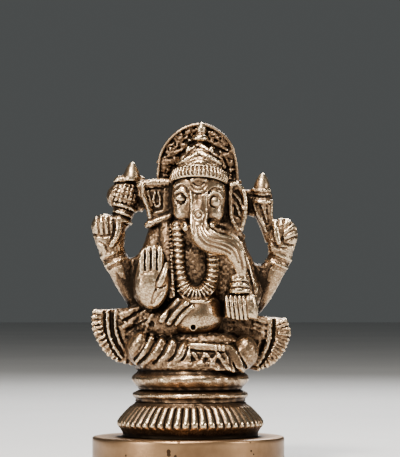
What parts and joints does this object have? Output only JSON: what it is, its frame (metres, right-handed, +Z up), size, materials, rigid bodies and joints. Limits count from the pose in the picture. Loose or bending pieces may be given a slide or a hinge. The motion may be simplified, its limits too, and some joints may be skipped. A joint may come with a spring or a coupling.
{
  "type": "ganesha idol",
  "caption": "Small cast brass seated Ganesha with raised arms, garland and crown, on a fluted pedestal and a turned base disc.",
  "frame": {"origin": "centre of the base disc's flat underside, where the idol stands on a table", "axes": "+Z up through the pedestal to the crown, -Y the front that the face and the open palm look to, +X the figure's own left"},
  "size_m": [0.0615, 0.0576, 0.1024],
  "materials": {
    "cast_antique_brass": "cast, dark patina in the recesses",
    "worn_antique_brass": "cast, rubbed bright on the high places",
    "turned_antique_brass": "turned, satin with fine pits",
    "pin_steel": "plain"
  },
  "bodies": {
    "root": {"arm_web_left": "cast_antique_brass", "arm_web_right": "cast_antique_brass", "bangle_left": "worn_antique_brass", "bangle_right": "worn_antique_brass", "base_disc": "turned_antique_brass", "belly": "worn_antique_brass", "blessing_hand": "worn_antique_brass", "crown_band": "worn_antique_brass", "crown_finial": "worn_antique_brass", "crown_tiers": "worn_antique_brass", "dhoti_pleats": "cast_antique_brass", "ear_left": "cast_antique_brass", "ear_right": "cast_antique_brass", "fixing_pin": "pin_steel", "foot_left": "worn_antique_brass", "front_arm_left": "cast_antique_brass", "front_arm_right": "cast_antique_brass", "garland": "worn_antique_brass", "goad_head": "cast_antique_brass", "goad_tip": "worn_antique_brass", "halo": "cast_antique_brass", "head": "worn_antique_brass", "holding_hand": "worn_antique_brass", "leg_left": "cast_antique_brass", "leg_right": "cast_antique_brass", "mace_head": "cast_antique_brass", "mace_tip": "worn_antique_brass", "pedestal_ring_lower": "worn_antique_brass", "pedestal_ring_upper": "worn_antique_brass", "pedestal_skirt": "worn_antique_brass", "raised_hand_left": "worn_antique_brass", "raised_hand_right": "worn_antique_brass", "rear_arm_left": "worn_antique_brass", "rear_arm_right": "worn_antique_brass", "seat_fan_left": "cast_antique_brass", "seat_fan_right": "cast_antique_brass", "seat_plate": "cast_antique_brass", "shawl_right": "cast_antique_brass", "sweet_bowl": "worn_antique_brass", "sweets": "worn_antique_brass", "torso": "cast_antique_brass", "trunk": "worn_antique_brass", "tusk_left": "worn_antique_brass", "tusk_right": "worn_antique_brass", "waist_drape_left": "cast_antique_brass", "waist_drape_right": "cast_antique_brass", "waist_sash": "cast_antique_brass"}
  },
  "joints": []
}
